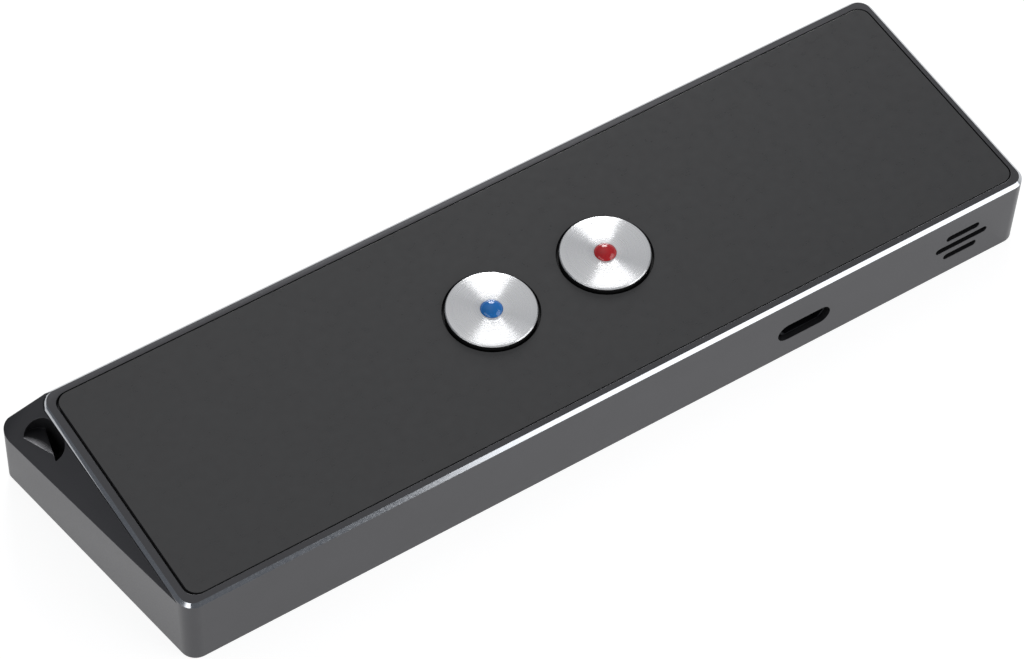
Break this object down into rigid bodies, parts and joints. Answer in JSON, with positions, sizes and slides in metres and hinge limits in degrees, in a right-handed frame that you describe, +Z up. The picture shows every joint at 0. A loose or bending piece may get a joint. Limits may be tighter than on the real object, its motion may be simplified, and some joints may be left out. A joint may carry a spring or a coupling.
{
  "type": "handheld translator",
  "caption": "Slim aluminium stick-shaped voice translator with two round sprung push buttons, a lanyard slot in a slanted end, a USB opening and a small grille.",
  "frame": {"origin": "centre of the body's footprint, on the surface that it lies on", "axes": "+X along the body towards the end with the grille, -Y towards the face with the USB opening, +Z up out of the top plate"},
  "size_m": [0.136, 0.0382, 0.0137],
  "materials": {
    "anodised_shell": "dark anodised, satin, with a bright cut edge",
    "satin_plate": "satin black lacquer",
    "tape": "matt",
    "spun_aluminium": "spun, bright",
    "blue_dome": "clear, polished",
    "red_dome": "clear, polished",
    "black_plastic": "moulded, fine texture",
    "clear_plastic": "milky, moulded",
    "steel": "stamped",
    "screw_steel": "nickel plated",
    "tin_plate": "tin plated",
    "circuit_board": "green solder mask",
    "chip_resin": "moulded resin",
    "ceramic": "fired ceramic",
    "ferrite": "sintered",
    "gold_contact": "gold plated",
    "pouch_foil": "laminated foil",
    "red_insulation": "extruded",
    "black_insulation": "extruded",
    "ivory_plastic": "moulded",
    "white_tape": "matt",
    "foam": "open-cell foam",
    "boot_rubber": "moulded",
    "copper_wire": "enamelled",
    "speaker_film": "thin film"
  },
  "bodies": {
    "housing": {"body_shell": "anodised_shell", "top_plate": "satin_plate", "plate_adhesive": "tape", "button_frame": "black_plastic", "switch_housing_blue": "black_plastic", "switch_housing_red": "black_plastic", "snap_dome_blue": "steel", "snap_dome_red": "steel", "switch_led_blue": "blue_dome", "switch_led_red": "red_dome", "switch_terminals": "tin_plate", "main_board": "circuit_board", "processor": "chip_resin", "memory_chip": "chip_resin", "radio_shield": "tin_plate", "antenna": "ceramic", "charger_chip": "chip_resin", "amplifier_chip": "chip_resin", "inductor": "ferrite", "crystal": "tin_plate", "board_passives": "ceramic", "usb_shell": "steel", "usb_tongue": "black_plastic", "usb_contacts": "gold_contact", "battery_cell": "pouch_foil", "battery_protection_board": "circuit_board", "battery_lead_red": "red_insulation", "battery_lead_black": "black_insulation", "battery_socket": "ivory_plastic", "battery_tape": "white_tape", "battery_foam": "foam", "speaker_chamber": "black_plastic", "speaker_basket": "steel", "speaker_yoke": "steel", "speaker_magnet": "ferrite", "speaker_pole": "steel", "voice_coil": "copper_wire", "speaker_diaphragm": "speaker_film", "speaker_leads": "red_insulation", "grille_gasket": "foam", "grille_mesh": "steel", "microphone": "gold_contact", "microphone_boot": "boot_rubber", "frame_screws": "screw_steel", "board_screws": "screw_steel"},
    "button_blue": {"button_cap_blue": "spun_aluminium", "button_lens_blue": "blue_dome", "button_carrier_blue": "black_plastic", "switch_plunger_blue": "clear_plastic"},
    "button_red": {"button_cap_red": "spun_aluminium", "button_lens_red": "red_dome", "button_carrier_red": "black_plastic", "switch_plunger_red": "clear_plastic"}
  },
  "joints": [
    {"name": "button_blue_press", "type": "slide", "parent": "housing", "child": "button_blue", "axis": [0, 0, -1], "range_m": [0, 0.0003], "stiffness_N_per_m": 700, "deforming": ["snap_dome_blue"]},
    {"name": "button_red_press", "type": "slide", "parent": "housing", "child": "button_red", "axis": [0, 0, -1], "range_m": [0, 0.0003], "stiffness_N_per_m": 700, "deforming": ["snap_dome_red"]}
  ]
}
